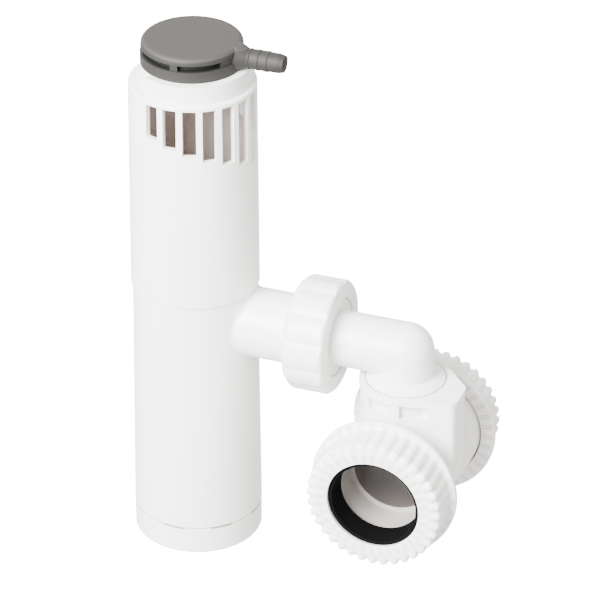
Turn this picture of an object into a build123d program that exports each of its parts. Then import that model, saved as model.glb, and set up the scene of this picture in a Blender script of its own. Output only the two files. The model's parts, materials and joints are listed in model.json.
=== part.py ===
from build123d import *
from math import acos, atan2, cos, hypot, radians, sin
import os

# Sealed drain hopper for a condensate or relief line: a slotted tundish over a bottle trap, whose side
# outlet drops through an elbow into a tee on a waste pipe. Millimetres, +Z up, origin at the centre of
# the base cap's underside, +X along the trap's outlet, the waste pipe along Y.

# Clearances
slide_gap = 0.15        # between parts that slide into each other and stay put
turn_gap = 0.08         # radial running clearance of a turning joint
end_gap = 0.3           # axial play of turning parts

# Working lengths of the construction
past = 1.0              # how far a cutting body runs past the surface that it cuts
joined = 0.5            # how far two shapes of one piece run into each other

# Trap body
column_wall = 2.4
body_foot_r = 30.2
body_taper = 1.3
body_top_r = body_foot_r - body_taper
body_top_z = 134.0
body_spigot_step = 2.2
body_spigot_r = body_top_r - body_spigot_step
body_spigot_length = 13.0
spigot_wall = 2.3

# Base cap and its seal
base_height = 13.95
base_inset = 0.1
base_r = body_foot_r - base_inset
base_floor = 2.6
base_edge_round = 1.2
foot_spigot_step = 3.8
foot_spigot_r = body_foot_r - foot_spigot_step
base_seal_thickness = 2.0
base_seal_width = 2.6
grip_count = 8
grip_angle = 20.0
grip_first = -92.0
grip_height = 0.9
grip_depth = 1.3

# Window sleeve
sleeve_step = 0.9
sleeve_foot_r = body_top_r + sleeve_step
sleeve_taper = 0.65
sleeve_top_r = sleeve_foot_r - sleeve_taper
sleeve_bore_r = body_spigot_r + slide_gap
sleeve_height = 103.0
deck_z = body_top_z + sleeve_height
deck_thickness = 2.1
deck_edge_round = 1.1
window_pitch = 18.0
window_angle = 12.4
window_side_count = 6
window_reach = 36.6
window_middle_z = deck_z - window_reach
window_step = 3.0
neck_step = 5.85
neck_r = sleeve_top_r - neck_step
neck_wall = 2.3
neck_bore_r = neck_r - neck_wall
neck_height = 9.1
upstand_step = 2.25
upstand_r = sleeve_top_r - upstand_step
upstand_half_angle = 121.0

# Ring seals of the column
ring_section = 1.5
sleeve_ring_rise = 6.5
sleeve_ring_z = body_top_z + sleeve_ring_rise
cap_ring_rise = 3.6
cap_ring_z = deck_z + cap_ring_rise

# Funnel and dip tube
funnel_rim_height = 5.0
funnel_wall = 1.8
funnel_drop = 24.0
dip_tube_r = 9.0
dip_tube_wall = 1.6
dip_tube_foot_z = 42.0
tube_socket_length = 12.0
tube_socket_wall = 2.0

# Inlet cap
cap_overhang = 0.2
cap_foot_r = neck_r + cap_overhang
cap_draft = 0.6
cap_top_r = cap_foot_r - cap_draft
cap_height = 11.3
cap_roof = 2.0
cap_edge_round = 2.4
cap_plug_wall = 2.2
cap_plug_drop = 4.4
cap_plug_foot_z = deck_z - cap_plug_drop
cap_slot_pitch = 60.0
cap_slot_angle = 51.0
cap_slot_side_count = 2
cap_slot_low = 5.1
cap_slot_height = 3.0
cap_slot_back_wall = 1.4
cap_groove_depth = 0.7
spigot_low = 5.4
spigot_reach = 20.7
spigot_tip_x = cap_foot_r + spigot_reach
spigot_r = 4.5
spigot_bore_r = 3.0
spigot_flare = 2.2
spigot_flare_length = 3.5
spigot_lead_length = 2.5
spigot_lead_drop = 0.6
barb_rise = 0.35
barb_edge = 0.43
barb_pitch = 4.3
barb_count = 3
barb_setback = 7.0
barb_last_x = spigot_tip_x - barb_setback

# Outlet branch and union
pipe_r = 13.0
pipe_wall = 2.2
branch_drop = 18.2
branch_z = body_top_z - branch_drop
branch_wall = 3.4
branch_r = pipe_r + branch_wall
branch_root_round = 2.5
branch_length = 20.7
union_start_x = body_foot_r + branch_length
union_thread_rise = 5.0
union_thread_r = branch_r + union_thread_rise
union_thread_length = 11.0
union_wall = 5.3
union_r = union_thread_r + union_wall
union_lip = 3.0
union_mouth_r = union_thread_r - union_lip
union_end_wall = 3.2
union_chamfer = 2.6
union_mouth_chamfer = 1.2
union_lobes = 12
union_groove_r = 3.2
union_groove_depth = 0.9
union_groove_first = 18.0
washer_thickness = 3.4
washer_step = 2.4
slip_ring_thickness = 2.4
slip_ring_step = 0.5
slip_ring_hub_gap = 0.4
slip_ring_sink = 0.6
union_length = union_thread_length + washer_thickness + slip_ring_thickness + union_end_wall

# Outlet elbow
pipe_insert = 3.6
pipe_start_x = union_start_x + pipe_insert
elbow_reach = 32.2
leg_x = union_start_x + union_length + elbow_reach
collar_clearance = 1.2
collar_top_z = branch_z - pipe_r - collar_clearance
elbow_flange_thickness = 2.0
elbow_flange_stand = 0.2
elbow_dome = 2.6
elbow_spigot_step = 2.6
elbow_spigot_r = pipe_r + elbow_spigot_step
elbow_land = 1.4
elbow_groove_height = 6.6
elbow_groove_depth = 1.2
elbow_groove_z = collar_top_z - elbow_flange_thickness - elbow_land - elbow_groove_height
elbow_ring_drop = 3.4
elbow_ring_z = elbow_groove_z - elbow_ring_drop
elbow_foot_drop = 3.7
elbow_spigot_foot_z = elbow_ring_z - elbow_foot_drop

# Tee
tee_wall = 2.6
waste_pipe_r = 21.5
socket_r = waste_pipe_r + slide_gap
run_step = 2.5
run_bore_r = waste_pipe_r - run_step
run_wall = 3.6
run_core_r = run_bore_r + run_wall
run_drop = 3.1
run_z = elbow_spigot_foot_z - run_core_r - run_drop
snap_ring_width = 2.7
snap_ring_out_r = elbow_spigot_r + snap_ring_width
elbow_flange_r = snap_ring_out_r + slide_gap
collar_r = snap_ring_out_r + tee_wall
collar_rim_width = 0.5
collar_rim_r = collar_r + collar_rim_width
collar_sink = 1.8
collar_foot_z = run_z - run_core_r + collar_sink
cheek_reach = 7.8
cheek_inset = 5.9
cheek_round = 3.2
cheek_rim_round = 5.0
cheek_core_rise = 15.0
snap_window_count = 6
snap_window_pitch = 45.0
snap_window_angle = 33.5
snap_window_first = 72.0
snap_window_reach = 4.0
snap_window_margin = 0.2
snap_window_low_z = elbow_groove_z - snap_window_margin
snap_window_high_z = elbow_groove_z + elbow_groove_height + snap_window_margin
snap_ring_play = 0.4
snap_ring_height = elbow_groove_height - snap_ring_play
snap_ring_opening = 40.0
barrel_wall = 5.85
barrel_r = socket_r + barrel_wall
barrel_start = 15.5
barrel_shoulder = 3.0
socket_depth = 21.5
barrel_mouth = barrel_start + socket_depth
seal_seat_depth = 5.5
seal_seat_wall = 2.5
seal_seat_r = barrel_r - seal_seat_wall

# Ribbed compression nuts
nut_overlap = 9.4
nut_inner_y = barrel_mouth - nut_overlap
nut_length = 18.1
nut_wall = 3.7
nut_root_r = barrel_r + nut_wall
nut_face_step = 3.8
nut_face_r = nut_root_r - nut_face_step
nut_shoulder_depth = 2.8
nut_rib_pairs = 18
nut_rib_sink = 0.65
nut_rib_centre_r = nut_root_r - nut_rib_sink
nut_rib_r = 1.55
nut_rib_end_round = 1.0
nut_flange_width = 3.7
nut_flange_r = nut_root_r + nut_flange_width
nut_flange_thickness = 2.6
nut_face_thickness = 1.3
nut_opening_gap = 0.5
nut_opening_r = waste_pipe_r + nut_opening_gap

# Slip ring and rubber seal in each nut
nut_ring_length = 0.7
nut_ring_gap = 0.4
seal_outer_gap = 0.6
seal_tip_gap = 1.2

# Places that follow
cap_foot_z = deck_z + neck_height + end_gap
along_x = Location((0, 0, branch_z), (0, 90, 0))
toward_front = Location((leg_x, 0, run_z), (90, 0, 0))
toward_rear = Location((leg_x, 0, run_z), (-90, 0, 0))


def turned(points):
    """Solid of revolution about Z from an outline of (radius, height) points."""
    outline = Polyline(*[(r, 0, z) for r, z in points], close=True)
    return revolve(make_face(outline), Axis.Z)


def ring(outer_r, inner_r, low, high):
    """Plain ring about Z between two heights."""
    return turned([(inner_r, low), (outer_r, low), (outer_r, high), (inner_r, high)])


def rod(radius, low, high):
    """Plain cylinder about Z between two heights."""
    return Pos(0, 0, low) * Cylinder(radius, high - low, align=(Align.CENTER, Align.CENTER, Align.MIN))


def sector(outer_r, inner_r, low, high, centre_angle, width_angle):
    """Piece of a ring about Z, centred on an angle in degrees."""
    start = radians(centre_angle - width_angle / 2)
    stop = radians(centre_angle + width_angle / 2)
    middle = (start + stop) / 2

    def at(radius, angle):
        return (radius * cos(angle), radius * sin(angle), low)

    outer = ThreePointArc(at(outer_r, start), at(outer_r, middle), at(outer_r, stop))
    inner = ThreePointArc(at(inner_r, stop), at(inner_r, middle), at(inner_r, start))
    sides = [Line(outer @ 1, inner @ 0), Line(inner @ 1, outer @ 0)]
    return extrude(make_face([outer, sides[0], inner, sides[1]]), high - low, dir=(0, 0, 1))


def seal_ring(inner_r, centre_z):
    """Round-section ring that touches the floor of its groove."""
    centre_r = inner_r + ring_section / 2
    section = Plane.XZ * Pos(centre_r, centre_z) * Circle(ring_section / 2)
    return revolve(section, Axis.Z)


def outer_edges(solid, radius, height):
    """Circular edges about Z at a radius and a height."""
    picked = []
    for edge in solid.edges().filter_by(GeomType.CIRCLE):
        if abs(edge.radius - radius) < 0.01 and abs(edge.arc_center.Z - height) < 0.01:
            picked.append(edge)
    return picked


def make_base_cap():
    """Screw cap that closes the trap, with grip slots in its upper edge."""
    bore_r = foot_spigot_r + turn_gap
    cup = turned([(0, 0), (base_r, 0), (base_r, base_height), (bore_r, base_height),
                  (bore_r, base_floor), (0, base_floor)])
    cup = fillet(outer_edges(cup, base_r, 0), base_edge_round)
    for index in range(grip_count):
        angle = grip_first + index * 360 / grip_count
        slot_r = base_r - grip_depth
        cup -= sector(base_r + past, slot_r, base_height - grip_height, base_height + past, angle, grip_angle)
    return cup


def make_base_seal():
    """Flat seal between the base cap's floor and the foot of the body."""
    return ring(foot_spigot_r - slide_gap, foot_spigot_r - base_seal_width,
                base_floor, base_floor + base_seal_thickness)


def body_r_at(z):
    """Outer radius of the tapered body at a height."""
    share = (z - base_height) / (body_top_z - base_height)
    return body_foot_r + (body_top_r - body_foot_r) * share


def make_trap_body():
    """Tapered trap cup, open at the foot, with its outlet branch."""
    foot_z = base_floor + base_seal_thickness
    shoulder_z = base_height + end_gap
    top_z = body_top_z + body_spigot_length
    foot_bore_r = foot_spigot_r - base_seal_width
    top_bore_r = body_spigot_r - spigot_wall
    inner_low_r = body_r_at(shoulder_z) - column_wall
    inner_high_r = body_top_r - column_wall
    thread_end_x = union_start_x + union_thread_length
    body = turned([(0, foot_z), (foot_spigot_r, foot_z), (foot_spigot_r, shoulder_z),
                   (body_r_at(shoulder_z), shoulder_z), (body_top_r, body_top_z),
                   (body_spigot_r, body_top_z), (body_spigot_r, top_z), (0, top_z)])
    body += along_x * rod(branch_r, 0, union_start_x + end_gap)
    body = fillet(root_edges(body), branch_root_round)
    body += along_x * rod(union_thread_r - turn_gap, union_start_x + end_gap, thread_end_x)
    body -= turned([(0, foot_z - past), (foot_bore_r, foot_z - past), (foot_bore_r, shoulder_z),
                    (inner_low_r, shoulder_z + inner_low_r - foot_bore_r),
                    (inner_high_r, body_top_z - inner_high_r + top_bore_r),
                    (top_bore_r, body_top_z), (top_bore_r, top_z + past), (0, top_z + past)])
    body -= along_x * rod(pipe_r - pipe_wall, 0, thread_end_x + past)
    body -= along_x * rod(pipe_r + turn_gap, pipe_start_x - end_gap, thread_end_x + past)
    groove_low = sleeve_ring_z - ring_section / 2
    body -= ring(sleeve_bore_r, body_spigot_r - ring_section, groove_low, groove_low + ring_section)
    return body


def root_edges(shell):
    """The seam where the branch leaves the tapered body."""
    picked = []
    for edge in shell.edges():
        centre = edge.center()
        box = edge.bounding_box()
        if box.size.Y > branch_r and box.size.Z > branch_r and 0 < centre.X and box.max.X < body_foot_r:
            picked.append(edge)
    return picked


def make_window_sleeve():
    """Upper barrel with tall slots round its outlet side, a deck, a neck and a part-round upstand."""
    under_z = deck_z - deck_thickness
    sleeve = turned([(sleeve_bore_r, body_top_z), (sleeve_foot_r, body_top_z), (sleeve_top_r, deck_z),
                     (neck_r, deck_z), (neck_r, deck_z + neck_height), (neck_bore_r, deck_z + neck_height),
                     (neck_bore_r, under_z), (sleeve_bore_r, under_z)])
    sleeve = fillet(outer_edges(sleeve, sleeve_top_r, deck_z), deck_edge_round)
    sleeve += sector(upstand_r, neck_r - joined, deck_z - joined, deck_z + neck_height,
                     0, 2 * upstand_half_angle)
    for index in range(-window_side_count, window_side_count + 1):
        foot = window_middle_z + abs(index) * window_step
        sleeve -= sector(sleeve_foot_r + past, sleeve_bore_r - past, foot, under_z,
                         index * window_pitch, window_angle)
    return sleeve


def make_hopper_funnel():
    """Funnel that rests on the body's upper rim and takes the dip tube in its socket."""
    seat_z = body_top_z + body_spigot_length
    rim_r = sleeve_bore_r - slide_gap
    throat_r = dip_tube_r + slide_gap
    cone_foot_z = seat_z - funnel_drop
    socket_foot_z = cone_foot_z - tube_socket_length
    inner_rim_r = rim_r - funnel_wall
    shank_r = body_spigot_r - spigot_wall - slide_gap
    bore_r = dip_tube_r - dip_tube_wall
    return turned([(throat_r, socket_foot_z), (throat_r + tube_socket_wall, socket_foot_z),
                   (throat_r + tube_socket_wall, cone_foot_z - funnel_wall),
                   (shank_r, seat_z - funnel_wall), (shank_r, seat_z), (rim_r, seat_z),
                   (rim_r, seat_z + funnel_rim_height), (inner_rim_r, seat_z + funnel_rim_height),
                   (inner_rim_r, seat_z + funnel_wall), (bore_r, cone_foot_z + funnel_wall),
                   (bore_r, cone_foot_z), (throat_r, cone_foot_z)])


def make_dip_tube():
    """Straight tube from the funnel's socket down into the trap's water."""
    top_z = body_top_z + body_spigot_length - funnel_drop
    return ring(dip_tube_r, dip_tube_r - dip_tube_wall, dip_tube_foot_z, top_z)


def make_inlet_cap():
    """Grey cap with a plug in the neck, deep blind slots under its roof and a barbed hose spigot."""
    foot_z = cap_foot_z
    top_z = foot_z + cap_height
    plug_r = neck_bore_r - turn_gap
    plug_bore_r = plug_r - cap_plug_wall
    shell = turned([(plug_bore_r, cap_plug_foot_z), (plug_r, cap_plug_foot_z), (plug_r, foot_z),
                    (cap_foot_r, foot_z), (cap_foot_r, foot_z + cap_slot_low), (cap_top_r, top_z),
                    (0, top_z), (0, top_z - cap_roof), (plug_bore_r, top_z - cap_roof)])
    shell = fillet(outer_edges(shell, cap_top_r, top_z), cap_edge_round)
    slot_low = foot_z + cap_slot_low
    slot_back_r = plug_bore_r + cap_slot_back_wall
    shell -= ring(cap_foot_r + past, cap_foot_r - cap_groove_depth, slot_low, slot_low + cap_slot_height)
    for index in range(-cap_slot_side_count, cap_slot_side_count + 1):
        shell -= sector(cap_foot_r + past, slot_back_r, slot_low, slot_low + cap_slot_height,
                        180 + index * cap_slot_pitch, cap_slot_angle)
    spigot_z = foot_z + spigot_low
    lie_x = Location((0, 0, spigot_z), (0, 90, 0))
    above_foot = Pos(0, 0, foot_z + cap_height / 2) * Box(2 * spigot_tip_x, 4 * spigot_r, cap_height)
    shell += (lie_x * barbed_stem(slot_back_r)) & above_foot
    shell -= lie_x * rod(spigot_bore_r, plug_bore_r - past, spigot_tip_x + past)
    groove_low = cap_ring_z - ring_section / 2
    shell -= ring(neck_bore_r, plug_r - ring_section, groove_low, groove_low + ring_section)
    return shell


def barbed_stem(start_x):
    """Hose spigot along Z with a root flare and sawtooth barbs, to be laid along X."""
    flare_x = cap_foot_r + spigot_flare_length
    outline = [(0, start_x), (spigot_r + spigot_flare, start_x),
               (spigot_r + spigot_flare, cap_foot_r - spigot_flare / 2), (spigot_r, flare_x)]
    for index in range(barb_count):
        tooth_x = barb_last_x - (barb_count - 1 - index) * barb_pitch
        outline += [(spigot_r + barb_rise, tooth_x - barb_edge), (spigot_r, tooth_x)]
    outline += [(spigot_r, spigot_tip_x - spigot_lead_length),
                (spigot_r - spigot_lead_drop, spigot_tip_x), (0, spigot_tip_x)]
    return turned(outline)


def make_union_nut():
    """Twelve-lobed union nut with a chamfered inner end and a wide mouth."""
    length = union_length
    outside = turned([(0, 0), (union_r - union_chamfer, 0), (union_r, union_chamfer),
                      (union_r, length - union_mouth_chamfer), (union_r - union_mouth_chamfer, length),
                      (0, length)])
    groove_centre_r = union_r + union_groove_r - union_groove_depth
    for index in range(union_lobes):
        angle = radians(union_groove_first + index * 360 / union_lobes)
        centre = Pos(groove_centre_r * sin(angle), groove_centre_r * cos(angle), 0)
        outside -= centre * rod(union_groove_r, -past, length + past)
    nut = outside - rod(union_thread_r, -past, length - union_end_wall)
    nut -= rod(union_mouth_r, length - union_end_wall - past, length + past)
    return Pos(union_start_x, 0, 0) * (along_x * nut)


def make_union_washer():
    """Rubber washer round the elbow's pipe, on the branch's mouth."""
    start_x = union_start_x + union_thread_length
    outer_r = union_thread_r - washer_step
    return along_x * ring(outer_r, pipe_r + slide_gap, start_x, start_x + washer_thickness)


def make_union_slip_ring():
    """Stiff ring behind the union nut's end wall, with a hub that fills the nut's mouth."""
    start_x = union_start_x + union_thread_length + washer_thickness
    stop_x = start_x + slip_ring_thickness
    inner_r = pipe_r + slide_gap
    hub_r = union_mouth_r - slip_ring_hub_gap
    hub_end_x = union_start_x + union_length - slip_ring_sink
    disc = ring(union_thread_r - slip_ring_step, inner_r, start_x, stop_x)
    return along_x * (disc + ring(hub_r, inner_r, start_x, hub_end_x))


def make_outlet_elbow():
    """Knuckle elbow: pipe along X, leg down Z, a domed flange and a plain spigot with two grooves."""
    bore_r = pipe_r - pipe_wall
    spigot_bore_r = elbow_spigot_r - elbow_groove_depth - pipe_wall
    flange_top_z = collar_top_z + elbow_flange_stand
    flange_low_z = collar_top_z - elbow_flange_thickness
    body = along_x * rod(pipe_r, pipe_start_x, leg_x)
    body += Pos(leg_x, 0, branch_z) * Sphere(pipe_r)
    skirt = turned([(0, elbow_spigot_foot_z), (elbow_spigot_r, elbow_spigot_foot_z),
                    (elbow_spigot_r, flange_low_z), (elbow_flange_r, flange_low_z),
                    (elbow_flange_r, flange_top_z), (pipe_r, flange_top_z + elbow_dome),
                    (pipe_r, branch_z), (0, branch_z)])
    groove_top_z = elbow_groove_z + elbow_groove_height
    skirt -= ring(elbow_spigot_r + past, elbow_spigot_r - elbow_groove_depth, elbow_groove_z, groove_top_z)
    skirt -= ring(elbow_spigot_r + past, elbow_spigot_r - ring_section,
                  elbow_ring_z - ring_section / 2, elbow_ring_z + ring_section / 2)
    body += Pos(leg_x, 0, 0) * skirt
    body -= along_x * rod(bore_r, pipe_start_x - past, leg_x)
    body -= Pos(leg_x, 0, branch_z) * Sphere(bore_r)
    body -= Pos(leg_x, 0, 0) * rod(spigot_bore_r, elbow_spigot_foot_z - past, flange_low_z)
    body -= Pos(leg_x, 0, 0) * rod(bore_r, flange_low_z - past, branch_z)
    return body


def make_snap_ring():
    """Split ring in the collar's groove that holds the elbow's spigot."""
    low = elbow_groove_z + snap_ring_play / 2
    inner_r = elbow_spigot_r - elbow_groove_depth + turn_gap
    solid = ring(snap_ring_out_r, inner_r, low, low + snap_ring_height)
    solid -= sector(snap_ring_out_r + past, inner_r - past, low - past, low + snap_ring_height + past,
                    0, snap_ring_opening)
    return Pos(leg_x, 0, 0) * solid


def collar_shape(radius, low, high, corner_round):
    """Collar about Z, round towards the trap, with a cheek towards +X that has its corner at the front."""
    corner_x = radius + cheek_reach
    corner_y = radius - cheek_inset
    front_lean = atan2(corner_y, corner_x) + acos(radius / hypot(corner_x, corner_y))
    back_lean = acos(radius / corner_x)
    front_touch = (radius * cos(front_lean), -radius * sin(front_lean))
    back_touch = (radius * cos(back_lean), radius * sin(back_lean))
    round_side = ThreePointArc(back_touch, (-radius, 0), front_touch)
    cheek = Polyline(front_touch, (corner_x, -corner_y), (corner_x, 0), back_touch)
    outline = make_face([round_side, *cheek.edges()])
    outline = fillet(outline.vertices().group_by(Axis.X)[-1], corner_round)
    return extrude(Pos(0, 0, low) * outline, high - low)


def make_tee_body():
    """Tee: upright collar with snap windows over a waste-pipe run with a socket at each end."""
    shoulder_start = barrel_start - barrel_shoulder
    run = toward_rear * rod(run_core_r, -barrel_start, barrel_start)
    collar = rod(collar_r, collar_foot_z, run_z)
    collar += collar_shape(collar_r, run_z, collar_top_z, cheek_round)
    collar += collar_shape(collar_rim_r, snap_window_high_z, collar_top_z, cheek_rim_round)
    for place in (toward_front, toward_rear):
        run += place * turned([(0, shoulder_start), (run_core_r, shoulder_start),
                               (barrel_r, barrel_start), (barrel_r, barrel_mouth), (0, barrel_mouth)])
    tee = run + Pos(leg_x, 0, 0) * collar
    hole = rod(elbow_spigot_r + turn_gap, elbow_spigot_foot_z - end_gap, collar_top_z)
    hole += rod(elbow_flange_r + turn_gap, collar_top_z - elbow_flange_thickness - end_gap, collar_top_z)
    hole += rod(snap_ring_out_r, elbow_groove_z, elbow_groove_z + elbow_groove_height)
    hole += rod(elbow_spigot_r - elbow_groove_depth - pipe_wall, run_z, elbow_spigot_foot_z)
    hole += rod(collar_r - tee_wall, run_z, elbow_spigot_foot_z - end_gap - tee_wall)
    for index in range(snap_window_count):
        hole += sector(collar_r + snap_window_reach, snap_ring_out_r - joined, snap_window_low_z,
                       snap_window_high_z, snap_window_first + index * snap_window_pitch, snap_window_angle)
    core_low = run_z + cheek_core_rise
    core_width = 2 * (collar_r - cheek_inset - tee_wall)
    core_reach = collar_r + cheek_reach - tee_wall
    core_middle = Pos(core_reach / 2, 0, (core_low + snap_window_high_z) / 2)
    core = core_middle * Box(core_reach, core_width, snap_window_high_z - core_low)
    hole += core - rod(collar_r, core_low - past, snap_window_high_z + past)
    tee -= Pos(leg_x, 0, 0) * hole
    tee -= toward_rear * rod(run_bore_r, -barrel_mouth, barrel_mouth)
    for place in (toward_front, toward_rear):
        tee -= place * turned([(0, barrel_start), (socket_r, barrel_start),
                               (socket_r, barrel_mouth - seal_seat_depth),
                               (seal_seat_r, barrel_mouth), (0, barrel_mouth)])
    return tee


def nut_shape():
    """Ribbed nut about Z: ribs that reach the face past a sloping shoulder, and an inner flange."""
    outer_z = nut_inner_y + nut_length
    flange_z = nut_inner_y + nut_flange_thickness
    tip_r = nut_rib_centre_r + nut_rib_r
    ribs = Circle(nut_face_r)
    for index in range(nut_rib_pairs):
        turn = Rot(0, 0, index * 180 / nut_rib_pairs)
        ribs += turn * SlotCenterToCenter(2 * nut_rib_centre_r, 2 * nut_rib_r)
    grip = extrude(Pos(0, 0, flange_z) * ribs, outer_z - flange_z)
    clear_r = tip_r + past
    grip &= turned([(0, flange_z), (clear_r, flange_z), (clear_r, outer_z - nut_rib_end_round - past),
                    (tip_r - nut_rib_end_round, outer_z), (0, outer_z)])
    nut = grip + turned([(0, nut_inner_y), (nut_flange_r, nut_inner_y), (nut_flange_r, flange_z),
                         (nut_root_r, flange_z), (nut_root_r, outer_z - nut_shoulder_depth),
                         (nut_face_r, outer_z), (0, outer_z)])
    nut -= rod(barrel_r + turn_gap, nut_inner_y - past, outer_z - nut_face_thickness)
    nut -= rod(nut_opening_r, outer_z - nut_face_thickness - past, outer_z + past)
    return nut


def slip_ring_shape():
    """Stiff ring behind the nut's face."""
    outer_z = nut_inner_y + nut_length - nut_face_thickness
    return ring(barrel_r - nut_ring_gap, nut_opening_r, outer_z - nut_ring_length, outer_z)


def seal_shape():
    """Rubber seal whose cone sits in the socket's conical mouth."""
    high = nut_inner_y + nut_length - nut_face_thickness - nut_ring_length
    outer_r = barrel_r - seal_outer_gap
    tip_z = barrel_mouth - seal_seat_depth + seal_tip_gap
    tip_r = socket_r + (seal_seat_r - socket_r) * seal_tip_gap / seal_seat_depth
    return turned([(nut_opening_r, tip_z), (tip_r, tip_z), (seal_seat_r, barrel_mouth),
                   (outer_r, barrel_mouth), (outer_r, high), (nut_opening_r, high)])


def write(name, solid):
    """Write one sub-part to its own STEP file."""
    export_step(solid, "parts/" + name + ".step")


os.makedirs("parts", exist_ok=True)
write("base_cap", make_base_cap())
write("base_seal", make_base_seal())
write("trap_body", make_trap_body())
write("window_sleeve", make_window_sleeve())
write("sleeve_seal", seal_ring(body_spigot_r - ring_section, sleeve_ring_z))
write("hopper_funnel", make_hopper_funnel())
write("dip_tube", make_dip_tube())
write("inlet_cap", make_inlet_cap())
write("cap_seal", seal_ring(neck_bore_r - turn_gap - ring_section, cap_ring_z))
write("union_nut", make_union_nut())
write("union_washer", make_union_washer())
write("union_slip_ring", make_union_slip_ring())
write("outlet_elbow", make_outlet_elbow())
write("elbow_seal", Pos(leg_x, 0, 0) * seal_ring(elbow_spigot_r - ring_section, elbow_ring_z))
write("snap_ring", make_snap_ring())
write("tee_body", make_tee_body())
write("front_nut", toward_front * nut_shape())
write("rear_nut", toward_rear * nut_shape())
write("front_slip_ring", toward_front * slip_ring_shape())
write("rear_slip_ring", toward_rear * slip_ring_shape())
write("front_seal", toward_front * seal_shape())
write("rear_seal", toward_rear * seal_shape())
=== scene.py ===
"""Dresses the sealed drain hopper: a slotted tundish over a bottle trap, its union, elbow and pipe tee.

Lengths are in metres, in the frame of the solid model: origin under the base cap, +Z up the column,
+X along the outlet branch, +Y along the waste pipe. Properties that a user changes are in millimetres.
"""
import json
import math
import bpy
import numpy as np
from mathutils import Matrix, Vector


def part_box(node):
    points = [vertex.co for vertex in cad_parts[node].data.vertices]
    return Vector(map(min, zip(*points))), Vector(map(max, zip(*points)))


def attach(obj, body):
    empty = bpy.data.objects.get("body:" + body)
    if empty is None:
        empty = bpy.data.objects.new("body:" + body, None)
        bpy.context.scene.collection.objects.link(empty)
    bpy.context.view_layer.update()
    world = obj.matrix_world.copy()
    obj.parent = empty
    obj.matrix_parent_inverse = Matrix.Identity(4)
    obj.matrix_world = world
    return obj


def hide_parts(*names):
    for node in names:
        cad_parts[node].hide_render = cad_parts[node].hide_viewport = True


bl_info = {
    "name": "Sealed Drain Hopper",
    "version": (1, 0, 0),
    "blender": (4, 5, 0),
    "location": "View3D > Sidebar > Hopper",
    "description": "Builds the nuts, seals and finishes of a tundish over a bottle trap",
    "category": "Add Mesh",
}

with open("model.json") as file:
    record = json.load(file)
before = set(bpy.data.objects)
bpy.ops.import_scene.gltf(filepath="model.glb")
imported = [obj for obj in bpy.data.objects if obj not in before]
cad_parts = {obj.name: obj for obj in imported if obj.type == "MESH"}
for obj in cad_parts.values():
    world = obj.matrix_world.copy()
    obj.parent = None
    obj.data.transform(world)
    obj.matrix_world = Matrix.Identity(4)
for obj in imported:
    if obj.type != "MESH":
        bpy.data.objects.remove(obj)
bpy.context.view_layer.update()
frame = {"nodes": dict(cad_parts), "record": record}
MM = 0.001
X, Y, Z = 0, 1, 2

# Sockets of the Mix node when it mixes colours.
MIX_FACTOR, MIX_LOW, MIX_HIGH, MIX_RESULT = 0, 6, 7, 2

# Second shades of the finishes, as shares of the first ones, and what the funnel's and the rings' finish
# takes from no setting.
WARM_SHARES = (0.985, 0.975, 0.955)
WORN_SHARE = 1.12
FUNNEL_SHARE = 0.93
BLOOM_SHARE = 2.2
FUNNEL_ROUGHNESS = 0.4
RING_GREY = (0.36, 0.36, 0.36)
RING_SHADE = (0.33, 0.33, 0.33)
RING_ROUGHNESS = 0.3

# Limits of the zones of painted shade, in millimetres from the faces, rims and floors that they follow.
# Painted shade in the tee's sockets and a painted shadow in the collar's recess round the elbow's flange.
SOCKET_SKIN = 0.3
RECESS_SKIN = 0.6
RECESS_DEPTH = 2.0
# Painted shade on the sleeve's inside.
SLEEVE_SHADE_SKIN = 0.4
SLEEVE_SHADE_OVERLAP = 3.0
# Painted shade on the base cap's upper face and grip slot floors, and a painted shadow on its topmost face.
SEAM_INSET = 0.15
SEAM_DEPTH = 1.0
GAP_SKIN = 0.1
GAP_DEPTH = 0.05
# Painted shadow line on the trap body under the sleeve's overhanging foot.
FOOT_LINE = 0.45
FOOT_SKIN = 0.01
# Limits of the painted shade on the inlet cap's side, in its slots and in its spigot's bore.
CAP_ROOF = 1.2
SLOT_FLOOR = 1.1
SLOT_TOP = 2.8
SLOT_BOTTOM = 6.4
SPIGOT_RADIUS = 3.1
SPIGOT_RIM = 0.05
SPIGOT_DEPTH = 20.0
NO_LIMIT = 1.0  # metres, further than the whole object reaches

# Angles between two faces, in degrees, from which the edge between them is drawn sharp.
SHARP_EDGE = 60.0
SHARP_CREASE = 20.0

# Numbers of samples across a rib's flank, across a lobe and round a seal.
FLANK_SAMPLES = 5
LOBE_SAMPLES = 16
SEAL_SAMPLES = 160

# A relaxed seal, in millimetres from the ends of its solid or from the opening of its nut. The places of
# its ridges are shares of its length, and each ridge reaches as far to both sides.
LIP_PROUD = 0.4
LIP_PLAY = 0.2
TAIL_PROUD = 0.3
SEAL_PLAY = 0.1
CONE_RADIUS = 2.6
CONE_HEIGHT = 4.2
FLANGE_HEIGHT = 4.5
RIDGE_SHARES = (0.75, 0.45)
RIDGE_REACH = 0.5

# Floor, lamp and surround, with lengths in metres.
FLOOR_REACH = 3.0
FLOOR_ROUGHNESS = 0.9
LAMP_SIZE = 1.1
LAMP_PLACE = (-0.42, -1.35, 1.15)
LAMP_AIM = (0.05, 0.0, 0.12)
SURROUND_COLOUR = (1.0, 0.985, 0.965, 1.0)

# Camera: angles in degrees, eye and sensor in millimetres, focal length and picture in pixels and the
# clipping distances in metres.
CAMERA_AZIMUTH = 20.06
CAMERA_ELEVATION = 30.63
CAMERA_ROLL = 0.04
CAMERA_EYE = (589.19, -1472.74, 1060.08)
FOCAL_LENGTH = 3973.4
PICTURE_WIDTH = 600.0
SENSOR_WIDTH = 36.0
CLIP_NEAR = 0.05
CLIP_FAR = 20.0


def mount_named(name):
    """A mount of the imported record."""
    return next(mount for mount in frame["record"]["mounts"] if mount["name"] == name)


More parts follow.
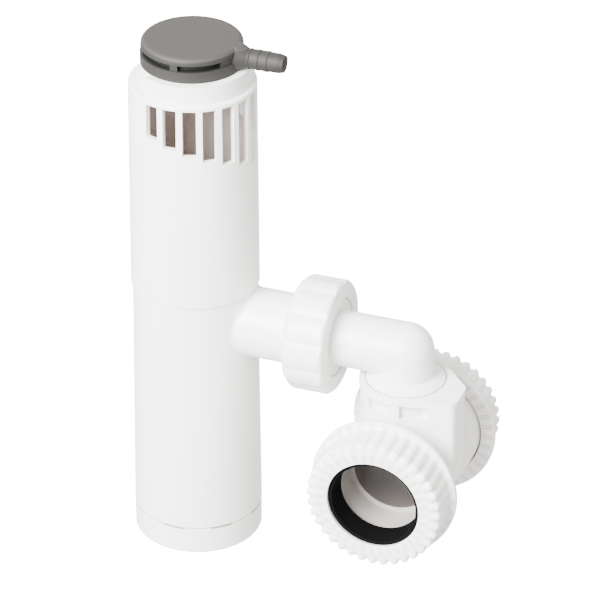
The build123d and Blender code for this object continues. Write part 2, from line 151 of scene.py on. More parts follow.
class Value:
    """A shader socket that adds Math nodes as it is used in an expression with others or with numbers."""

    def __init__(self, paint, socket):
        self.paint = paint
        self.socket = socket

    def _math(self, operation, *terms):
        made = self.paint.node("ShaderNodeMath", {"operation": operation}, dict(enumerate(terms)))
        return made.out("Value")

    def __add__(self, other):
        return self._math("ADD", self, other)

    def __radd__(self, other):
        return self._math("ADD", other, self)

    def __sub__(self, other):
        return self._math("SUBTRACT", self, other)

    def __rsub__(self, other):
        return self._math("SUBTRACT", other, self)

    def __mul__(self, other):
        return self._math("MULTIPLY", self, other)

    def __rmul__(self, other):
        return self._math("MULTIPLY", other, self)


class Step:
    """One shader node, whose outputs are read by name."""

    def __init__(self, paint, node):
        self.paint = paint
        self.node = node

    def out(self, name):
        return Value(self.paint, self.node.outputs[name])


class Paint:
    """A material under construction: its node tree, its surface shader and a short way to add nodes."""

    def __init__(self, name):
        self.material = bpy.data.materials.new(name)
        self.material.use_nodes = True
        self.tree = self.material.node_tree
        self.surface = self.tree.nodes["Principled BSDF"]

    def node(self, kind, settings=None, inputs=None):
        """Add a node of a type, set its settings first and then the values or links of its sockets."""
        made = self.tree.nodes.new(kind)
        for key, value in (settings or {}).items():
            setattr(made, key, value)
        for key, value in (inputs or {}).items():
            self._feed(made.inputs[key], value)
        return Step(self, made)

    def _feed(self, socket, value):
        if isinstance(value, Value):
            self.tree.links.new(value.socket, socket)
        else:
            socket.default_value = value

    def set(self, **inputs):
        """Set or link sockets of the surface shader, with spaces in names written as underscores."""
        for key, value in inputs.items():
            self._feed(self.surface.inputs[key.replace("_", " ")], value)

    def place(self):
        """The point on the piece, in metres in the row frame."""
        return self.node("ShaderNodeTexCoord").out("Object")

    def noise(self, scale, detail=3.0, roughness=0.55):
        """Smooth noise from 0 to 1 with its features about 1/scale metres across."""
        inputs = {"Vector": self.place(), "Scale": scale, "Detail": detail, "Roughness": roughness}
        return self.node("ShaderNodeTexNoise", None, inputs).out("Fac")

    def parts_of(self, vector):
        """The three numbers of a vector."""
        made = self.node("ShaderNodeSeparateXYZ", None, {"Vector": vector})
        return [made.out(axis) for axis in "XYZ"]

    def under(self, value, limit):
        """Mask that is 1 where a value is under a limit."""
        return self.node("ShaderNodeMath", {"operation": "LESS_THAN"}, {0: value, 1: limit}).out("Value")

    def between(self, mask, low, high):
        """Colour that goes from low to high as a mask goes from 0 to 1."""
        ends = [end if isinstance(end, Value) else (*end, 1.0) for end in (low, high)]
        inputs = {MIX_FACTOR: mask, MIX_LOW: ends[0], MIX_HIGH: ends[1]}
        made = self.node("ShaderNodeMix", {"data_type": "RGBA"}, inputs)
        return Value(self, made.node.outputs[MIX_RESULT])

    def tinted(self, skin, zones):
        """Skin with painted shade mixed in over each zone.

        A zone is (its axis's number, a centre, a radius, its start and its end along the axis, its tint), in
        metres. Its mask is 1 where the squared distance from the axis is under the squared radius and the
        place along the axis, counted from the centre, lies between start and end.
        """
        for axis, centre, radius, start, end, tint in zones:
            offsets = [part - middle for part, middle in zip(self.parts_of(self.place()), centre)]
            first, second = (offset * offset for number, offset in enumerate(offsets) if number != axis)
            inside = self.under(first + second, radius ** 2) * self.under(start, offsets[axis])
            skin = self.between(inside * self.under(offsets[axis], end), skin, tint)
        return skin

    def bump(self, height, distance, strength=1.0):
        """Normal of a surface raised by a height mask, with distance in metres."""
        inputs = {"Height": height, "Distance": distance, "Strength": strength}
        return self.node("ShaderNodeBump", None, inputs).out("Normal")


def glossy_plastic(name, colour, warm, gloss, zones=()):
    """Glossy injection-moulded plastic with faint flow clouds and a fine orange-peel skin."""
    paint = Paint(name)
    clouds = paint.noise(scale=28.0, detail=2.0)
    peel = paint.noise(scale=900.0, detail=1.0)
    smears = paint.noise(scale=60.0, detail=4.0)
    dulling = 0.10
    paint.set(Base_Color=paint.tinted(paint.between(clouds, colour, warm), zones))
    paint.set(Roughness=gloss + dulling * smears)
    paint.set(Normal=paint.bump(peel, distance=0.00003))
    paint.set(IOR=1.47)
    return paint.material


def matte_plastic(name, colour, worn, zones=()):
    """Matte plastic with a fine spark-eroded grain."""
    paint = Paint(name)
    clouds = paint.noise(scale=45.0, detail=3.0)
    grain = paint.noise(scale=2600.0, detail=2.0, roughness=0.7)
    smoothest = 0.56
    dulling = 0.14
    paint.set(Base_Color=paint.tinted(paint.between(clouds, colour, worn), zones))
    paint.set(Roughness=smoothest + dulling * grain)
    paint.set(Normal=paint.bump(grain, distance=0.00008))
    paint.set(Specular_IOR_Level=0.34)
    return paint.material


def black_rubber(name, colour, bloom):
    """Black seal rubber with a faint dusty bloom."""
    paint = Paint(name)
    dust = paint.noise(scale=160.0, detail=5.0, roughness=0.7)
    grain = paint.noise(scale=1800.0, detail=2.0)
    smoothest = 0.65
    dulling = 0.2
    paint.set(Base_Color=paint.between(dust, colour, bloom))
    paint.set(Roughness=smoothest + dulling * dust)
    paint.set(Specular_IOR_Level=0.04)
    paint.set(Normal=paint.bump(grain, distance=0.00005))
    return paint.material


def softened(corners, cuts, steps=5):
    """Closed outline of (radius, height) whose corners are quadratic curves.

    Each curve starts and ends a cut's length from its corner, along the two sides, and has the corner as its
    middle control point: (1 - t)^2 start + 2t(1 - t) corner + t^2 stop.
    """
    corners = np.asarray(corners, float)
    reach = np.asarray(cuts, float)[:, None]
    back = np.roll(corners, 1, axis=0) - corners
    ahead = np.roll(corners, -1, axis=0) - corners
    start = corners + back / np.linalg.norm(back, axis=1, keepdims=True) * reach
    stop = corners + ahead / np.linalg.norm(ahead, axis=1, keepdims=True) * reach
    t = np.linspace(0.0, 1.0, steps)[None, :, None]
    curve = (1 - t) ** 2 * start[:, None] + 2 * t * (1 - t) * corners[:, None] + t ** 2 * stop[:, None]
    return curve.reshape(-1, 2)


def ring_grid(crest, valley, mask, angle, centre, axis, side):
    """Grid of points of a ring whose outline changes as it goes round its axis.

    Row and column are the place along the outline and the angle. The outline is the valley's plus the mask
    times the crest's difference from it. A point is centre + height * axis + radius * (cos(angle) * side
    + sin(angle) * (axis x side)).
    """
    outline = valley[:, None] + (crest - valley)[:, None] * mask[None, :, None]
    radius = outline[..., :1]
    height = outline[..., 1:]
    axis = np.asarray(axis, float)
    side = np.asarray(side, float)
    spoke = np.cos(angle)[:, None] * side + np.sin(angle)[:, None] * np.cross(axis, side)
    return np.asarray(centre) + height * axis + radius * spoke[None]


def band_faces(rows, columns):
    """Quads of a grid that closes both ways: each point with the next along, the next round and both."""
    index = np.arange(rows * columns).reshape(rows, columns)
    along = np.roll(index, -1, axis=0)
    quads = np.stack([index, np.roll(index, -1, axis=1), np.roll(along, -1, axis=1), along], axis=-1)
    return quads.reshape(-1, 4)


def signed_volume(points, quads):
    """Volume inside a closed mesh: a sixth of the sum of the triple products of its triangles."""
    a, b, c, d = (points[quads[:, corner]] for corner in range(4))
    halves = np.einsum("ij,ij->i", a, np.cross(b, c)) + np.einsum("ij,ij->i", a, np.cross(c, d))
    return halves.sum() / 6.0


def add_ring(name, grid, body, nodes, material, crease):
    """Make a closed ring from its grid of points, standing for solid nodes and riding on a body.

    Crease is the angle between two faces, in degrees, from which the edge between them is drawn sharp.
    """
    points = grid.reshape(-1, 3) * MM
    quads = band_faces(*grid.shape[:2])
    if signed_volume(points, quads) < 0:
        quads = quads[:, ::-1]
    mesh = bpy.data.meshes.new(name)
    mesh.from_pydata(points.tolist(), [], quads.tolist())
    mesh.polygons.foreach_set("use_smooth", np.ones(len(quads), dtype=bool))
    mesh.set_sharp_from_angle(angle=math.radians(crease))
    mesh.materials.append(bpy.data.materials[material])
    piece = bpy.data.objects.new(name, mesh)
    bpy.context.scene.collection.objects.link(piece)
    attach(piece, body)
    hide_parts(*nodes)


def socket_ring(box):
    """Centre, outward axis, radius and both ends of a ring at one end of the tee, in millimetres."""
    low, high = np.array(box) / MM
    centre = ((low[X] + high[X]) / 2, 0.0, (low[Z] + high[Z]) / 2)
    axis = (0.0, math.copysign(1.0, low[Y] + high[Y]), 0.0)
    inner, outer = sorted((abs(low[Y]), abs(high[Y])))
    return centre, axis, (high[X] - low[X]) / 2, inner, outer


def lobed_round(count, shares):
    """Angles of a ring's samples and their place in a lobe, from -0.5 to 0.5, with the lobe's middle at 0.

    An angle is 2 pi times (the number of the lobe + the place in it) / the number of lobes.
    """
    place = np.tile(np.asarray(shares, float), count)
    lobe = np.repeat(np.arange(count), len(shares))
    return (lobe + place) * 2.0 * math.pi / count, place


class NutSettings(bpy.types.PropertyGroup):
    """Sizes of the two ribbed compression nuts, whose flange and length come from the solid model."""
    ribs: bpy.props.IntProperty(
        name="Ribs", description="Number of grip ribs round a nut", min=12, max=60, default=36)
    tip_radius: bpy.props.FloatProperty(
        name="Rib Tips", description="Radius over the ribs in millimetres", min=28.0, default=32.1)
    root_radius: bpy.props.FloatProperty(
        name="Rib Roots", description="Radius between the ribs in millimetres", min=28.0, default=31.2)
    rib_width: bpy.props.FloatProperty(
        name="Rib Width", description="Width of a rib in millimetres", min=0.5, default=3.1)
    flank: bpy.props.FloatProperty(
        name="Rib Flank", description="Width of a rib's sloping side in millimetres", min=0.1, default=2.0)
    face_radius: bpy.props.FloatProperty(
        name="Face", description="Radius where the ribs rise from the face in millimetres", default=27.4)
    shoulder: bpy.props.FloatProperty(
        name="Shoulder", description="How far the valleys fall behind the face in millimetres", default=1.5)
    bore_radius: bpy.props.FloatProperty(
        name="Bore", description="Radius of the nut's inside in millimetres", default=28.1)
    opening_radius: bpy.props.FloatProperty(
        name="Opening", description="Radius of the hole in the face in millimetres", default=22.0)
    face_thickness: bpy.props.FloatProperty(
        name="Face Thickness", description="Thickness of the face in millimetres", default=1.3)
    flange_thickness: bpy.props.FloatProperty(
        name="Flange", description="Thickness of the inner flange in millimetres", default=2.6)


class SealSettings(bpy.types.PropertyGroup):
    """Sizes of the rubber seals as they lie relaxed, with lips that reach further in than their solids."""
    lip_radius: bpy.props.FloatProperty(
        name="Front Lip", description="Inner radius at the opening in millimetres", default=20.15)
    tail_radius: bpy.props.FloatProperty(
        name="Tail", description="Inner radius at the socket's end in millimetres", default=19.6)
    ridge: bpy.props.FloatProperty(
        name="Ridge", description="Height of the sealing ridges in millimetres", default=0.22)


class UnionSettings(bpy.types.PropertyGroup):
    """Sizes of the lobed union nut, whose length and radius come from the solid model."""
    lobes: bpy.props.IntProperty(
        name="Lobes", description="Number of lobes round the nut", min=6, max=24, default=12)
    first_crease: bpy.props.FloatProperty(
        name="First Crease", description="Angle of the first crease from the top, towards the rear",
        subtype="ANGLE", default=math.radians(18.0))
    depth: bpy.props.FloatProperty(
        name="Crease Depth", description="How deep the creases lie under the lobes in millimetres",
        default=0.9)
    bore_radius: bpy.props.FloatProperty(
        name="Bore", description="Radius of the nut's inside in millimetres", default=21.4)
    mouth_radius: bpy.props.FloatProperty(
        name="Mouth", description="Radius of the outer opening in millimetres", default=18.4)
    end_wall: bpy.props.FloatProperty(
        name="End Wall", description="Thickness of the outer end in millimetres", default=3.2)
    chamfer: bpy.props.FloatProperty(
        name="Inner Chamfer", description="Chamfer towards the trap in millimetres", default=2.6)
    lead: bpy.props.FloatProperty(
        name="Outer Chamfer", description="Chamfer towards the elbow in millimetres", default=1.2)


class FinishSettings(bpy.types.PropertyGroup):
    """Colours and gloss of the mouldings, with the painted shade in their sockets, recesses, seams and slots
    and on the cap's side.
    """
    white: bpy.props.FloatVectorProperty(
        name="White", description="Main colour of the white mouldings", subtype="COLOR",
        size=3, min=0.0, max=1.0, default=(0.83, 0.825, 0.815))
    grey: bpy.props.FloatVectorProperty(
        name="Cap Grey", description="Colour of the inlet cap", subtype="COLOR",
        size=3, min=0.0, max=1.0, default=(0.030, 0.028, 0.0255))
    inner: bpy.props.FloatVectorProperty(
        name="Funnel", description="Colour of the funnel and the dip tube", subtype="COLOR",
        size=3, min=0.0, max=1.0, default=(0.27, 0.185, 0.15))
    # Painted shade: the cap's side and spigot are drawn darker than its lit roof.
    side: bpy.props.FloatVectorProperty(
        name="Cap Side", description="Colour of the inlet cap's side and spigot", subtype="COLOR",
        size=3, min=0.0, max=1.0, default=(0.0155, 0.0146, 0.0134))
    # Painted shade in the depths of the cap's slots.
    slot: bpy.props.FloatVectorProperty(
        name="Cap Slots", description="Colour in the depths of the cap's slots", subtype="COLOR",
        size=3, min=0.0, max=1.0, default=(0.003, 0.003, 0.003))
    # Painted shade inside the hose spigot's bore.
    spigot: bpy.props.FloatVectorProperty(
        name="Spigot Bore", description="Colour inside the hose spigot", subtype="COLOR",
        size=3, min=0.0, max=1.0, default=(0.12, 0.115, 0.11))
    # Painted shade on the base cap's upper face and grip slot floors, and a painted shadow line under the
    # sleeve's foot.
    seam: bpy.props.FloatVectorProperty(
        name="Seams", description="Dull tint in the column's seams and grip slots", subtype="COLOR",
        size=3, min=0.0, max=1.0, default=(0.42, 0.41, 0.40))
    # Painted shadow over the base cap's top and in the collar's recess round the elbow's flange.
    gap: bpy.props.FloatVectorProperty(
        name="Gaps", description="Dark tint over the base cap and round the elbow's flange", subtype="COLOR",
        size=3, min=0.0, max=1.0, default=(0.12, 0.115, 0.11))
    # Painted shade inside the tee's sockets.
    bore: bpy.props.FloatVectorProperty(
        name="Sockets", description="Dull tint inside the tee's sockets", subtype="COLOR",
        size=3, min=0.0, max=1.0, default=(0.36, 0.335, 0.315))
    # Darker painted shade deeper inside the tee's run.
    depth: bpy.props.FloatVectorProperty(
        name="Run", description="Dull tint inside the tee's run, past the sockets", subtype="COLOR",
        size=3, min=0.0, max=1.0, default=(0.092, 0.080, 0.075))
    step: bpy.props.FloatProperty(
        name="Socket Step", description="How far the run's bore is under a socket's in millimetres",
        min=0.0, default=2.4)
    # Painted brownish shade on the sleeve's inner wall behind the slots.
    sleeve_shade: bpy.props.FloatVectorProperty(
        name="Sleeve Shade", description="Brownish tint of the sleeve's inside behind the slots",
        subtype="COLOR", size=3, min=0.0, max=1.0, default=(0.54, 0.455, 0.415))
    rubber: bpy.props.FloatVectorProperty(
        name="Rubber", description="Colour of the seals", subtype="COLOR",
        size=3, min=0.0, max=1.0, default=(0.0012, 0.0012, 0.0013))
    gloss: bpy.props.FloatProperty(
        name="Roughness", description="Lowest roughness of the white mouldings", subtype="FACTOR",
        min=0.0, max=1.0, default=0.30)


class StageSettings(bpy.types.PropertyGroup):
    """Floor, lights and camera."""
    floor: bpy.props.FloatVectorProperty(
        name="Floor", description="Colour of the floor", subtype="COLOR",
        size=3, min=0.0, max=1.0, default=(0.9, 0.9, 0.9))
    glow: bpy.props.FloatProperty(
        name="Floor Glow", description="Light given off by the floor, as on a light table", min=0.0,
        default=14.0)
    key: bpy.props.FloatProperty(
        name="Key Light", description="Power of the large soft light", min=0.0, default=230.0)
    fill: bpy.props.FloatProperty(
        name="Surround", description="Brightness of the white surround", min=0.0, default=2.1)


class HOPPER_OT_finishes(bpy.types.Operator):
    """Give every moulding of the solid model its plastic or rubber"""
    bl_idname = "hopper.finishes"
    bl_label = "Mouldings"

    def execute(self, context):
        look = context.scene.hopper_finish
        white = tuple(look.white)
        warm = tuple(np.array(white) * WARM_SHARES)
        grey = tuple(look.grey)
        worn = tuple(np.array(grey) * WORN_SHARE)
        inner = tuple(look.inner)
        shaded = tuple(np.array(inner) * FUNNEL_SHARE)
        rubber = tuple(look.rubber)
        bloom = tuple(np.array(rubber) * BLOOM_SHARE)
        made = {
            "white_plastic": glossy_plastic("moulded_white", white, warm, look.gloss),
            # The cap's grey carries painted shade on its side, in its slots and in its spigot.
            "grey_plastic": matte_plastic("moulded_grey", grey, worn, self.cap_zones(look)),
            "inner_plastic": glossy_plastic("moulded_funnel", inner, shaded, FUNNEL_ROUGHNESS),
            "pale_grey_plastic": glossy_plastic("moulded_ring", RING_GREY, RING_SHADE, RING_ROUGHNESS),
            "black_rubber": black_rubber("seal_rubber", rubber, bloom),
        }
        # White mouldings with painted shade in their sockets, recesses, seams and inner walls.
        zoned = {
            "tee_body": ("moulded_tee", self.tee_zones(look)),
            "window_sleeve": ("moulded_sleeve", self.sleeve_zones(look)),
            "base_cap": ("moulded_base", self.base_zones(look)),
            "trap_body": ("moulded_body", self.body_zones(look)),
        }
        special = {node: glossy_plastic(name, white, warm, look.gloss, zones)
                   for node, (name, zones) in zoned.items()}
        for part in frame["record"]["subparts"]:
            piece = frame["nodes"][part["node"]]
            piece.data.materials.clear()
            piece.data.materials.append(special.get(part["node"], made[part["material_slot"]]))
        return {"FINISHED"}

    def tee_zones(self, look):
        """Painted shade inside the sockets, darker painted shade in the narrower run between them and a
        painted shadow in the collar's recess round the elbow's flange.
        """
        socket = mount_named("front_pipe_socket")
        centre = socket["pos_m"]
        radius = socket["dims"]["r_mm"] * MM
        low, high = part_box("snap_ring")
        rim = (centre[X], 0.0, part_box("tee_body")[1][Z])
        recess = (high[Y] - low[Y]) / 2 + RECESS_SKIN * MM
        # Painted shade in the sockets and deeper in the run, and a painted shadow in the collar's recess.
        return [(Y, centre, radius + SOCKET_SKIN * MM, -NO_LIMIT, NO_LIMIT, tuple(look.bore)),
                (Y, centre, radius - look.step * MM, -NO_LIMIT, NO_LIMIT, tuple(look.depth)),
                (Z, rim, recess, -RECESS_DEPTH * MM, NO_LIMIT, tuple(look.gap))]

    def sleeve_zones(self, look):
        """Painted brownish shade on the sleeve's inside, seen through its slots, up to the cap's plug."""
        low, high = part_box("hopper_funnel")
        radius = (high[X] - low[X]) / 2 + SLEEVE_SHADE_SKIN * MM
        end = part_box("inlet_cap")[0][Z] + SLEEVE_SHADE_OVERLAP * MM
        return [(Z, (0.0, 0.0, 0.0), radius, -NO_LIMIT, end, tuple(look.sleeve_shade))]

    def base_zones(self, look):
        """Painted shade on the base cap's upper face and the floors of its grip slots, and a darker painted
        shadow on its topmost face.
        """
        low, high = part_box("base_cap")
        top = (0.0, 0.0, high[Z])
        radius = (high[X] - low[X]) / 2
        # Painted shade on the upper face and slot floors, and a painted shadow on the topmost face.
        return [(Z, top, radius - SEAM_INSET * MM, -SEAM_DEPTH * MM, NO_LIMIT, tuple(look.seam)),
                (Z, top, radius + GAP_SKIN * MM, -GAP_DEPTH * MM, NO_LIMIT, tuple(look.gap))]

    def body_zones(self, look):
        """A painted shadow line under the sleeve's foot."""
        low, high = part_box("window_sleeve")
        foot = (0.0, 0.0, low[Z])
        radius = (high[X] - low[X]) / 2
        return [(Z, foot, radius, -FOOT_LINE * MM, FOOT_SKIN * MM, tuple(look.seam))]

    def cap_zones(self, look):
        """Painted shade on the cap's side and spigot below its lighter roof, and darker painted shade in the
        slots' depths and the spigot's bore.
        """
        low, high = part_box("inlet_cap")
        top = (0.0, 0.0, high[Z])
        floor = (high[Y] - low[Y]) / 2 - SLOT_FLOOR * MM
        mouth = mount_named("hose_spigot")["pos_m"]
        bore = SPIGOT_RADIUS * MM
        # Painted shade: a darker side below the roof, darker slot depths and a darker spigot bore.
        return [(Z, top, NO_LIMIT, -NO_LIMIT, -CAP_ROOF * MM, tuple(look.side)),
                (Z, top, floor, -SLOT_BOTTOM * MM, -SLOT_TOP * MM, tuple(look.slot)),
                (X, mouth, bore, -SPIGOT_DEPTH * MM, -SPIGOT_RIM * MM, tuple(look.spigot))]


class HOPPER_OT_nuts(bpy.types.Operator):
    """Make the two ribbed compression nuts"""
    bl_idname = "hopper.nuts"
    bl_label = "Ribbed Nuts"

    def execute(self, context):
        nut = context.scene.hopper_nut
        angle, mask = self.ribs(nut)
        for end in ("front", "rear"):
            centre, axis, radius, inner, outer = socket_ring(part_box(end + "_nut"))
            crest, valley = self.outlines(nut, radius, inner, outer)
            grid = ring_grid(crest, valley, mask, angle, centre, axis, side=(1.0, 0.0, 0.0))
            add_ring(end + "_grip", grid, end, [end + "_nut"], "moulded_white", SHARP_EDGE)
        return {"FINISHED"}

    def ribs(self, nut):
        """Angles round a nut and the mask of its ribs.

        The mask is 1 on a rib and 0 between two. On a flank it is 3r^2 - 2r^3, where r rises evenly from 0
        to 1.
        """
        pitch = 2.0 * math.pi * nut.tip_radius / nut.ribs
        half = nut.rib_width / 2 / pitch
        slope = nut.flank / pitch
        edge = np.linspace(half - slope / 2, half + slope / 2, FLANK_SAMPLES)
        shares = np.concatenate([[-0.5], -edge[::-1], [-half / 2, 0.0, half / 2], edge])
        angle, place = lobed_round(nut.ribs, shares)
        rise = np.clip((half + slope / 2 - np.abs(place)) / slope, 0.0, 1.0)
        return angle, rise ** 2 * (3.0 - 2.0 * rise)

    def outlines(self, nut, flange_radius, inner, outer):
        """Outline through a rib and outline between two ribs, with as many points."""
        top = inner + nut.flange_thickness
        behind = outer - nut.face_thickness
        first = [(nut.bore_radius, inner), (flange_radius, inner), (flange_radius, top)]
        last = [(nut.opening_radius, outer), (nut.opening_radius, behind), (nut.bore_radius, behind)]
        rib = [(nut.tip_radius, top), (nut.tip_radius, outer), (nut.face_radius, outer)]
        gap = [(nut.root_radius, top), (nut.root_radius, outer - nut.shoulder), (nut.face_radius, outer)]
        first_cuts = [0.9, 0.6, 0.6]
        rib_cuts = [0.5, 1.5, 0.6]
        gap_cuts = [0.5, 1.7, 1.2]
        last_cuts = [0.25, 0.2, 0.2]
        crest = softened(first + rib + last, first_cuts + rib_cuts + last_cuts)
        valley = softened(first + gap + last, first_cuts + gap_cuts + last_cuts)
        return crest, valley


class HOPPER_OT_seals(bpy.types.Operator):
    """Make the relaxed rubber seals in the two pipe sockets"""
    bl_idname = "hopper.seals"
    bl_label = "Rubber Seals"

    def execute(self, context):
        seal = context.scene.hopper_seal
        opening = context.scene.hopper_nut.opening_radius
        angle = np.linspace(0.0, 2.0 * math.pi, SEAL_SAMPLES, endpoint=False)
        mask = np.ones_like(angle)
        for end in ("front", "rear"):
            centre, axis, radius, inner, outer = socket_ring(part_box(end + "_seal"))
            outline = self.outline(seal, radius, inner, outer, opening)
            grid = ring_grid(outline, outline, mask, angle, centre, axis, side=(1.0, 0.0, 0.0))
            add_ring(end + "_rubber", grid, "tee", [end + "_seal"], "seal_rubber", SHARP_EDGE)
        return {"FINISHED"}

    def outline(self, seal, flange_radius, inner, outer, opening):
        """Outline with two ridges inside, a cone behind and a flange that ends at the nut's opening."""
        length = outer - inner
        wall = (seal.lip_radius - seal.tail_radius) / length
        ridges = []
        for share in RIDGE_SHARES:
            height = inner + share * length
            radius = seal.tail_radius + wall * share * length
            crest = radius + seal.ridge
            ridges += [(crest, height + RIDGE_REACH), (radius, height), (crest, height - RIDGE_REACH)]
        lip = [(seal.lip_radius, outer + LIP_PROUD)]
        cone = [(seal.tail_radius, inner - TAIL_PROUD), (opening + SEAL_PLAY, inner + SEAL_PLAY),
                (opening + CONE_RADIUS, inner + CONE_HEIGHT)]
        flange = [(flange_radius, inner + FLANGE_HEIGHT), (flange_radius, outer - SEAL_PLAY),
                  (opening - LIP_PLAY, outer - SEAL_PLAY), (opening - LIP_PLAY, outer + LIP_PROUD)]
        lip_cuts = [0.35]
        ridge_cuts = [0.2] * len(ridges)
        cone_cuts = [0.4, 0.2, 0.15]
        flange_cuts = [0.15, 0.2, 0.05, 0.15]
        return softened(lip + ridges + cone + flange, lip_cuts + ridge_cuts + cone_cuts + flange_cuts)


class HOPPER_OT_union(bpy.types.Operator):
    """Make the lobed union nut on the branch"""
    bl_idname = "hopper.union"
    bl_label = "Union Nut"

    def execute(self, context):
        nut = context.scene.hopper_union
        low, high = np.array(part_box("union_nut")) / MM
        length = high[X] - low[X]
        radius = (high[Z] - low[Z]) / 2
        centre = (low[X], 0.0, (low[Z] + high[Z]) / 2)
        behind = length - nut.end_wall
        first = [(nut.bore_radius, 0.0), (radius - nut.chamfer, 0.0)]
        last = [(radius - nut.lead, length), (nut.mouth_radius, length), (nut.mouth_radius, behind),
                (nut.bore_radius, behind)]
        low_radius = radius - nut.depth
        lobe = [(radius, nut.chamfer), (radius, length - nut.lead)]
        dip = [(low_radius, nut.chamfer - nut.depth), (low_radius, length - nut.lead + nut.depth)]
        lobe_cuts = [0.3, 0.5, 0.7, 0.4, 0.2, 0.3, 0.2, 0.3]
        dip_cuts = [0.3, 0.5, 0.7, 0.15, 0.1, 0.3, 0.2, 0.3]
        crest = softened(first + lobe + last, lobe_cuts)
        valley = softened(first + dip + last, dip_cuts)
        angle, mask = self.lobes(nut)
        grid = ring_grid(crest, valley, mask, angle, centre, axis=(1.0, 0.0, 0.0), side=(0.0, 0.0, 1.0))
        add_ring("union_grip", grid, "union", ["union_nut"], "moulded_white", SHARP_CREASE)
        return {"FINISHED"}

    def lobes(self, nut):
        """Angles round the nut and the mask of its lobes.

        The angles are turned back so that a crease stands at the first crease's angle. The mask is
        1 - (2p)^2, where p is the place in the lobe, so it is 1 on a lobe's middle and 0 in a crease.
        """
        angle, place = lobed_round(nut.lobes, np.linspace(-0.5, 0.5, LOBE_SAMPLES, endpoint=False))
        turn = nut.first_crease + math.pi / nut.lobes
        return -angle - turn, 1.0 - (2.0 * np.abs(place)) ** 2


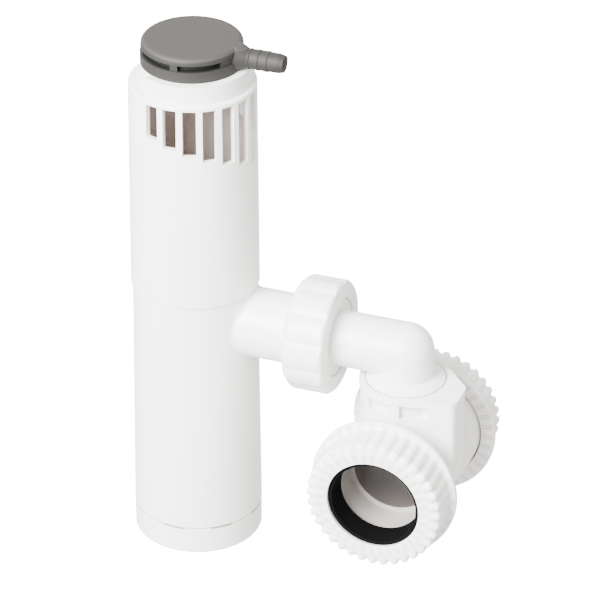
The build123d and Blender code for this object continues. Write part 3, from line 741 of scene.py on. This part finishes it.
class HOPPER_OT_stage(bpy.types.Operator):
    """Set the pale floor, the soft lights and the camera"""
    bl_idname = "hopper.stage"
    bl_label = "Stage"

    def execute(self, context):
        look = context.scene.hopper_stage
        self.floor(context.scene, look)
        self.lamp(context.scene, look)
        self.surround(context.scene, look)
        self.camera(context.scene)
        return {"FINISHED"}

    def floor(self, scene, look):
        """A wide square that glows like a light table, but neither lights the part nor mirrors in it."""
        ends = np.array([-FLOOR_REACH, FLOOR_REACH])
        across, along = np.meshgrid(ends, ends)
        corners = np.stack([across, along, np.zeros_like(across)], axis=-1).reshape(-1, 3)
        mesh = bpy.data.meshes.new("floor")
        mesh.from_pydata(corners.tolist(), [], [(0, 1, 3, 2)])
        floor = bpy.data.objects.new("floor", mesh)
        scene.collection.objects.link(floor)
        paint = Paint("floor_paint")
        paint.set(Base_Color=(*look.floor, 1.0), Roughness=FLOOR_ROUGHNESS)
        paint.set(Emission_Color=(1.0, 1.0, 1.0, 1.0), Emission_Strength=look.glow)
        floor.data.materials.append(paint.material)
        floor.visible_diffuse = False
        floor.visible_glossy = False

    def lamp(self, scene, look):
        """The large round light to the left of the camera."""
        lamp = bpy.data.lights.new("key", "AREA")
        lamp.shape = "DISK"
        lamp.size = LAMP_SIZE
        lamp.energy = look.key
        light = bpy.data.objects.new("key", lamp)
        light.location = LAMP_PLACE
        aim = Vector(LAMP_AIM) - light.location
        light.rotation_euler = aim.to_track_quat("-Z", "Y").to_euler()
        scene.collection.objects.link(light)

    def surround(self, scene, look):
        """The even light from all sides."""
        world = bpy.data.worlds.new("surround")
        world.use_nodes = True
        background = world.node_tree.nodes["Background"]
        background.inputs["Color"].default_value = SURROUND_COLOUR
        background.inputs["Strength"].default_value = look.fill
        scene.world = world

    def camera(self, scene):
        """The camera, whose columns are its right, its up, its back and its place.

        Back is (sin azimuth cos elevation, -cos azimuth cos elevation, sin elevation). Right is level at
        first, and right and up are then turned by the roll about back.
        """
        azimuth = math.radians(CAMERA_AZIMUTH)
        elevation = math.radians(CAMERA_ELEVATION)
        roll = math.radians(CAMERA_ROLL)
        back = np.array([math.sin(azimuth) * math.cos(elevation),
                         -math.cos(azimuth) * math.cos(elevation), math.sin(elevation)])
        level = np.array([math.cos(azimuth), math.sin(azimuth), 0.0])
        rise = np.cross(back, level)
        right = level * math.cos(roll) + rise * math.sin(roll)
        up = rise * math.cos(roll) - level * math.sin(roll)
        place = np.eye(4)
        place[:3, :] = np.stack([right, up, back, np.array(CAMERA_EYE) * MM], axis=1)
        lens = bpy.data.cameras.new("camera")
        lens.sensor_width = SENSOR_WIDTH
        lens.sensor_fit = "HORIZONTAL"
        lens.lens = FOCAL_LENGTH / PICTURE_WIDTH * SENSOR_WIDTH
        lens.clip_start = CLIP_NEAR
        lens.clip_end = CLIP_FAR
        camera = bpy.data.objects.new("camera", lens)
        camera.matrix_world = Matrix(place.tolist())
        scene.collection.objects.link(camera)
        scene.camera = camera


class HOPPER_PT_panel(bpy.types.Panel):
    """Buttons and settings of the hopper's pieces"""
    bl_label = "Drain Hopper"
    bl_idname = "HOPPER_PT_panel"
    bl_space_type = "VIEW_3D"
    bl_region_type = "UI"
    bl_category = "Hopper"

    def draw(self, context):
        scene = context.scene
        for operator, settings in PANEL_ROWS:
            box = self.layout.box()
            group = getattr(scene, settings)
            for name in group.__annotations__:
                box.prop(group, name)
            box.operator(operator.bl_idname)


PANEL_ROWS = (
    (HOPPER_OT_finishes, "hopper_finish"),
    (HOPPER_OT_nuts, "hopper_nut"),
    (HOPPER_OT_seals, "hopper_seal"),
    (HOPPER_OT_union, "hopper_union"),
    (HOPPER_OT_stage, "hopper_stage"),
)
SETTINGS = (
    ("hopper_finish", FinishSettings),
    ("hopper_nut", NutSettings),
    ("hopper_seal", SealSettings),
    ("hopper_union", UnionSettings),
    ("hopper_stage", StageSettings),
)


def register():
    for name, group in SETTINGS:
        bpy.utils.register_class(group)
        setattr(bpy.types.Scene, name, bpy.props.PointerProperty(type=group))
    for operator, settings in PANEL_ROWS:
        bpy.utils.register_class(operator)
    bpy.utils.register_class(HOPPER_PT_panel)


def unregister():
    bpy.utils.unregister_class(HOPPER_PT_panel)
    for operator, settings in reversed(PANEL_ROWS):
        bpy.utils.unregister_class(operator)
    for name, group in reversed(SETTINGS):
        delattr(bpy.types.Scene, name)
        bpy.utils.unregister_class(group)


def main():
    register()
    bpy.ops.hopper.finishes()
    bpy.ops.hopper.nuts()
    bpy.ops.hopper.seals()
    bpy.ops.hopper.union()
    bpy.ops.hopper.stage()


if __name__ == "__main__":
    main()
